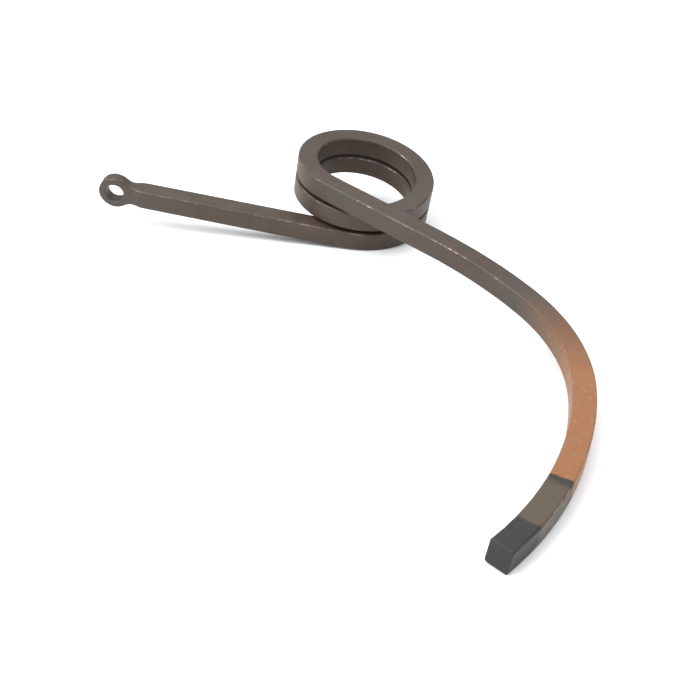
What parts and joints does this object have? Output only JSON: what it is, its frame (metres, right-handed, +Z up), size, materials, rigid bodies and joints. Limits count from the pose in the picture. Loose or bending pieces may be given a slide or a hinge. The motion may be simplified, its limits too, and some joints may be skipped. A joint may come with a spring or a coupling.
{
  "type": "spring tine",
  "caption": "Coiled cultivator spring tine of square spring bar: bolted eye on a straight arm, wound coil, and a curved leg with a blunt end that works the soil.",
  "frame": {"origin": "on the ground, under the middle of the tine's outline as it lies at rest", "axes": "+Z up from the ground; the tine lies flat, its arm runs along X with the eye at -X, the coil lies towards +Y and the leg's blunt end points to -Y"},
  "size_m": [0.6214, 0.7473, 0.1024],
  "materials": {
    "spring_steel": "satin"
  },
  "bodies": {
    "root": {"spring_tine": "spring_steel"}
  },
  "joints": []
}
